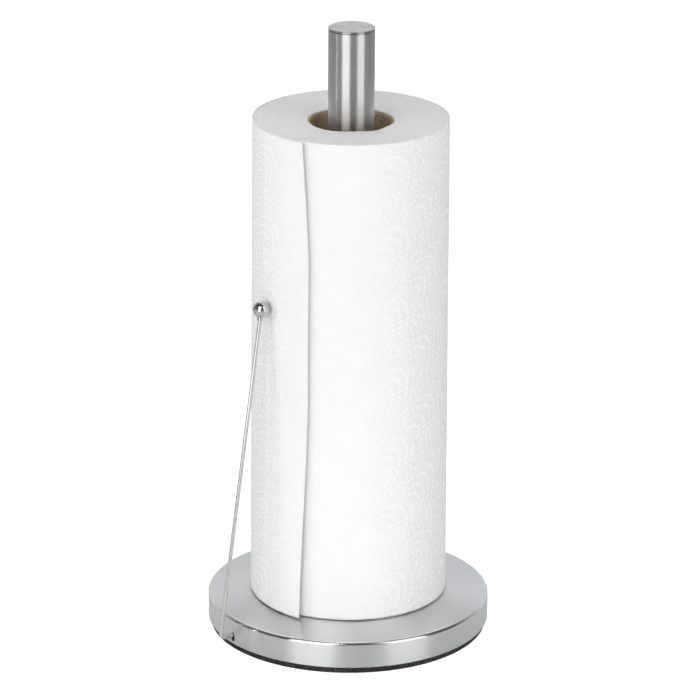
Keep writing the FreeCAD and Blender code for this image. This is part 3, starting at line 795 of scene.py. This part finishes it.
def floor():
    """A large pale disc, open under the holder and clear from below, so the pad can be seen from there.
    The camera sees it as a clean white sweep; the object sees pale card."""
    points = polar(np.array([[FLOOR_OPENING, FLOOR_RADIUS]]), around(FLOOR_COLUMNS), -FLOOR_DROP)
    faces = grid_faces(FLOOR_COLUMNS, 2, closed=True, flip=True)
    mesh = bpy.data.meshes.new("floor")
    mesh.from_pydata(points.reshape(-1, 3).tolist(), [], faces.tolist())
    made = bpy.data.objects.new("floor", mesh)
    bpy.context.scene.collection.objects.link(made)
    stuff, tree, shader = material("floor_card")
    mottle = noise_of(tree, place(tree), scale=3.0)
    wire(tree, shader, Base_Color=ramp(tree, mottle, (0.3, (0.70, 0.70, 0.70)), (0.7, (0.72, 0.72, 0.72))))
    wire(tree, shader, Roughness=0.9, Specular_IOR_Level=0.1)
    glow = add(tree, "Emission", {"Color": (1, 1, 1, 1), "Strength": FLOOR_GLOW}).outputs[0]
    bright = add(tree, "AddShader", {0: shader.outputs[0], 1: glow}).outputs[0]
    seen = add(tree, "LightPath").outputs["Is Camera Ray"]
    mixed = add(tree, "MixShader", {0: seen, 1: shader.outputs[0], 2: bright}).outputs[0]
    below = add(tree, "NewGeometry").outputs["Backfacing"]
    clear = add(tree, "BsdfTransparent").outputs[0]
    one_sided = add(tree, "MixShader", {0: below, 1: mixed, 2: clear}).outputs[0]
    tree.links.new(one_sided, tree.nodes["Material Output"].inputs[0])
    mesh.materials.append(stuff)


def world():
    """A pale room, which the camera sees as white. To the object it's darker in front and overhead."""
    made = bpy.data.worlds.new("room")
    bpy.context.scene.world = made
    made.use_nodes = True
    tree = made.node_tree
    seen = add(tree, "LightPath").outputs["Is Camera Ray"]
    way = add(tree, "SeparateXYZ", {0: place(tree, "Generated")})
    back = calc(tree, "SUBTRACT", way.outputs[1], calc(tree, "MULTIPLY", way.outputs[2], ROOM_TILT))
    room = ramp(tree, spread(tree, back, 0.0, 1.0, 0.0, ROOM_EDGE), (0.0, ROOM_DARK), (1.0, ROOM_LIGHT))
    tree.links.new(mix(tree, seen, room, (1, 1, 1)), tree.nodes["Background"].inputs[0])


def studio():
    view = bpy.context.scene.view_settings
    view.view_transform = "Standard"
    view.look = "None"
    camera()
    world()
    floor()
    for light in LIGHTS:
        softbox(*light)


# ---------------------------------------------------------------- the holder

# One brushed stainless steel in three shades: the cover's colour is painted lighter than the post's (painted
# light), and the cap's darker (painted shade).
LIT_COVER_STEEL = brushed_steel("cover_brushed_lit", (0.86, 0.87, 0.865), rough=0.34, anisotropic=0.97, edge=EDGE)
POST_STEEL = brushed_steel("post_brushed", (0.68, 0.68, 0.675), rough=0.32, anisotropic=1.0)
SHADED_CAP_STEEL = brushed_steel("cap_brushed_shaded", (0.58, 0.58, 0.575), rough=0.32, anisotropic=1.0)
CHROME = polished("arm_polished", (0.60, 0.60, 0.60), rough=0.06)
# The arm wire's chrome is the ball's chrome painted lighter: painted light.
LIT_WIRE_CHROME = polished("wire_polished_lit", (0.70, 0.70, 0.70), rough=0.07)
PLATE = zinc("plate_spangled", (0.62, 0.63, 0.63), spangle=420.0)
FASTENER = zinc("fastener_plated", (0.68, 0.67, 0.62), spangle=1800.0)
SPRING = spring_steel("spring_wire")
IRON = cast_iron("weight_iron")
FOAM = foam_rubber("pad_foam_cells")
GASKET = moulded_plastic("gasket_soft", (0.03, 0.03, 0.032), rough=0.6)
HUB = moulded_plastic("hub_moulded", (0.80, 0.80, 0.78), rough=0.35)
CARD = cardboard("core_board")
TISSUE = tissue("tissue_embossed")
PAPER_EDGES = paper_edges("paper_cut_ends")

CAD_FINISH = {
    "base_cover": LIT_COVER_STEEL,
    "base_weight": IRON,
    "base_plate": PLATE,
    "plate_screws": FASTENER,
    "anti_slip_pad": FOAM,
    "post_tube": POST_STEEL,
    "post_cap": SHADED_CAP_STEEL,
    "post_foot_plug": FASTENER,
    "post_gasket": GASKET,
    "post_bolt": FASTENER,
    "post_washer": FASTENER,
    "post_lock_washer": SPRING,
    "centring_hub": HUB,
    "arm_wire": LIT_WIRE_CHROME,
    "arm_ball": CHROME,
    "ball_collar": CHROME,
    "pivot_clip": SPRING,
    "arm_bracket": PLATE,
    "bracket_rivets": FASTENER,
}

for node, finish in CAD_FINISH.items():
    for held in frame["nodes"][node].material_slots:
        held.material = finish

studio()
body = wound_body()
first_sheet = wound_sheet("first_sheet", 0.0, loose=True)
second_sheet = wound_sheet("second_sheet", SHEET_LENGTH, loose=False)
core = core_tube()
spring = torsion_spring()
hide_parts("paper_roll")
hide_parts("loose_sheet")
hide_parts("cardboard_core")
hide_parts("arm_spring")
